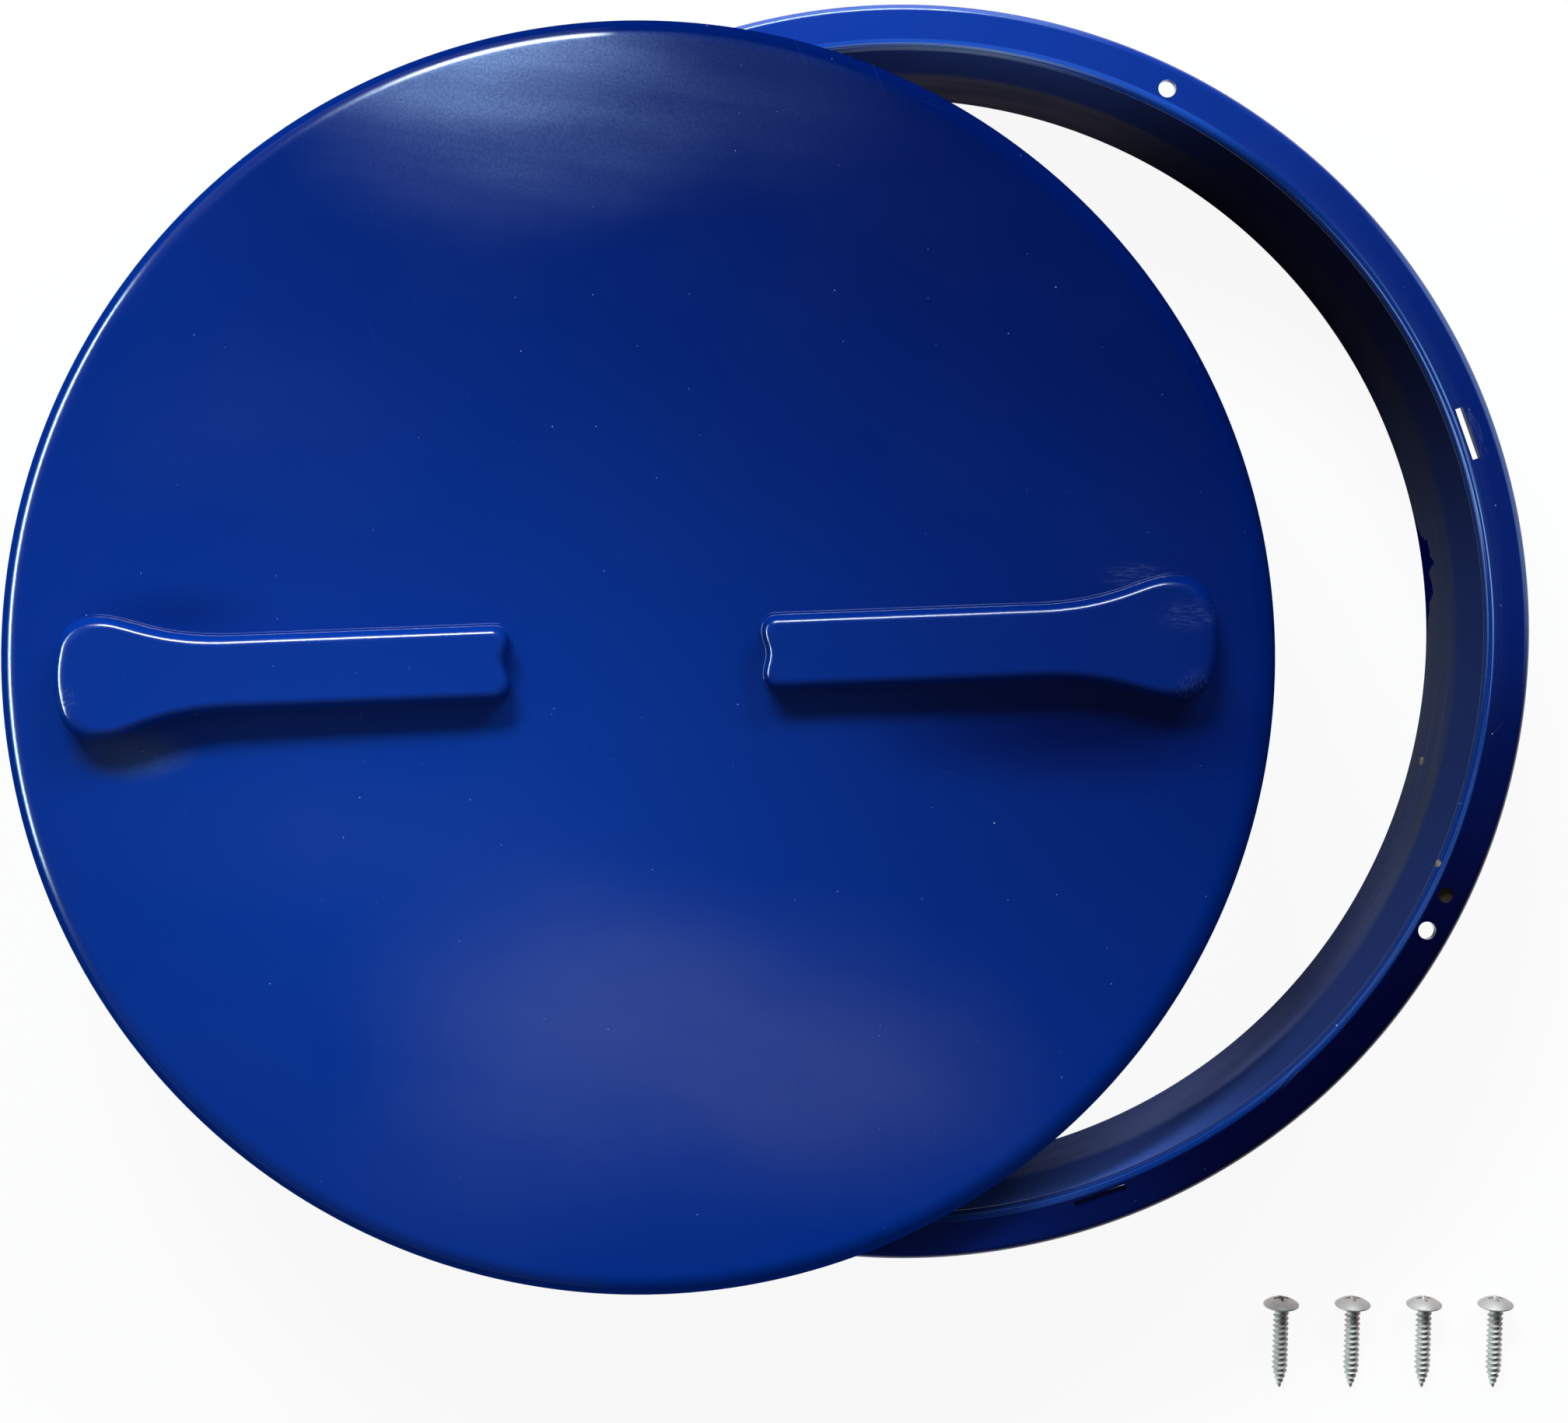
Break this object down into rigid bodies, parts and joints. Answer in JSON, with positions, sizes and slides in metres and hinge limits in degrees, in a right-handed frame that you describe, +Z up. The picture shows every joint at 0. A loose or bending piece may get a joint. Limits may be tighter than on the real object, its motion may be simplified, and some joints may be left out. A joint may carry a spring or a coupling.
{
  "type": "water tank lid",
  "caption": "Round moulded lid with paddle grips and locking hooks, laid off centre on its flanged neck ring, with the loose cross-head screws that fix the ring to a tank.",
  "frame": {"origin": "on the ground under the middle of the whole set's box", "axes": "+Z up, out of the ring's mouth; +X from the lid towards the open side of the ring; +Y away from the screws"},
  "size_m": [0.7428, 0.688, 0.1403],
  "materials": {
    "lid_plastic": "deep blue, satin-gloss, lightly scratched and dusty",
    "ring_plastic": "deep blue, satin-gloss, streaked at the mouth",
    "screw_steel": "bright zinc-plated"
  },
  "bodies": {
    "root": {"lid": "lid_plastic", "neck_ring": "ring_plastic", "screw_1": "screw_steel", "screw_2": "screw_steel", "screw_3": "screw_steel", "screw_4": "screw_steel"}
  },
  "joints": []
}
